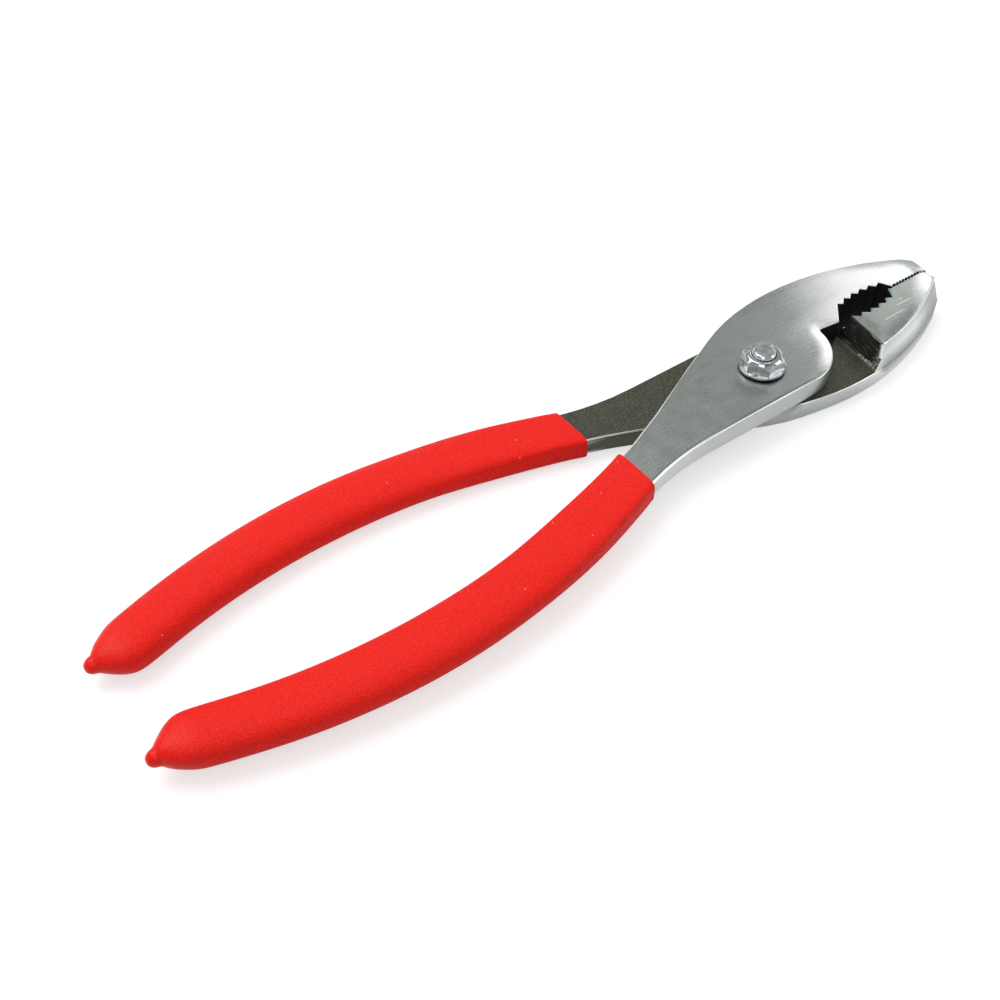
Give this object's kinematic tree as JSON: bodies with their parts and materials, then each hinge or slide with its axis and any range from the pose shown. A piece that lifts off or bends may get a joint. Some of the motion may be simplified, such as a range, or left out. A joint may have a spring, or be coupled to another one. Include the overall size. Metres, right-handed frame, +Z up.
{
  "type": "slip joint pliers",
  "caption": "Slip joint pliers lying closed: toothed jaws with a pipe grip and wire cutter, a pivot bolt that slips along its slot, and dipped vinyl grips.",
  "frame": {"origin": "middle of the length and width, on the plane the tool lies on", "axes": "+X along the tool towards the jaws, +Y towards the upper lever's jaw, +Z up through the pivot"},
  "size_m": [0.1999, 0.0522, 0.0141],
  "materials": {
    "ground_steel": "satin ground forging",
    "oxide_steel": "dark forging, ground on the jaw and the flanks",
    "zinc_plate": "bright plated",
    "red_vinyl": "fine grained dipped vinyl"
  },
  "bodies": {
    "lower_half": {"lower_lever": "oxide_steel", "lower_grip": "red_vinyl"},
    "pivot": {"pivot_bolt": "zinc_plate", "pivot_nut": "zinc_plate"},
    "upper_half": {"upper_lever": "ground_steel", "upper_grip": "red_vinyl"}
  },
  "joints": [
    {"name": "slip", "type": "slide", "parent": "lower_half", "child": "pivot", "axis": [-0.2588, 0.9659, 0], "range_m": [0, 0.007]},
    {"name": "opening", "type": "hinge", "parent": "pivot", "child": "upper_half", "pos_m": [0.04565, -0.0029, 0.007], "axis": [0, 0, 1], "range_deg": [0, 50]}
  ]
}
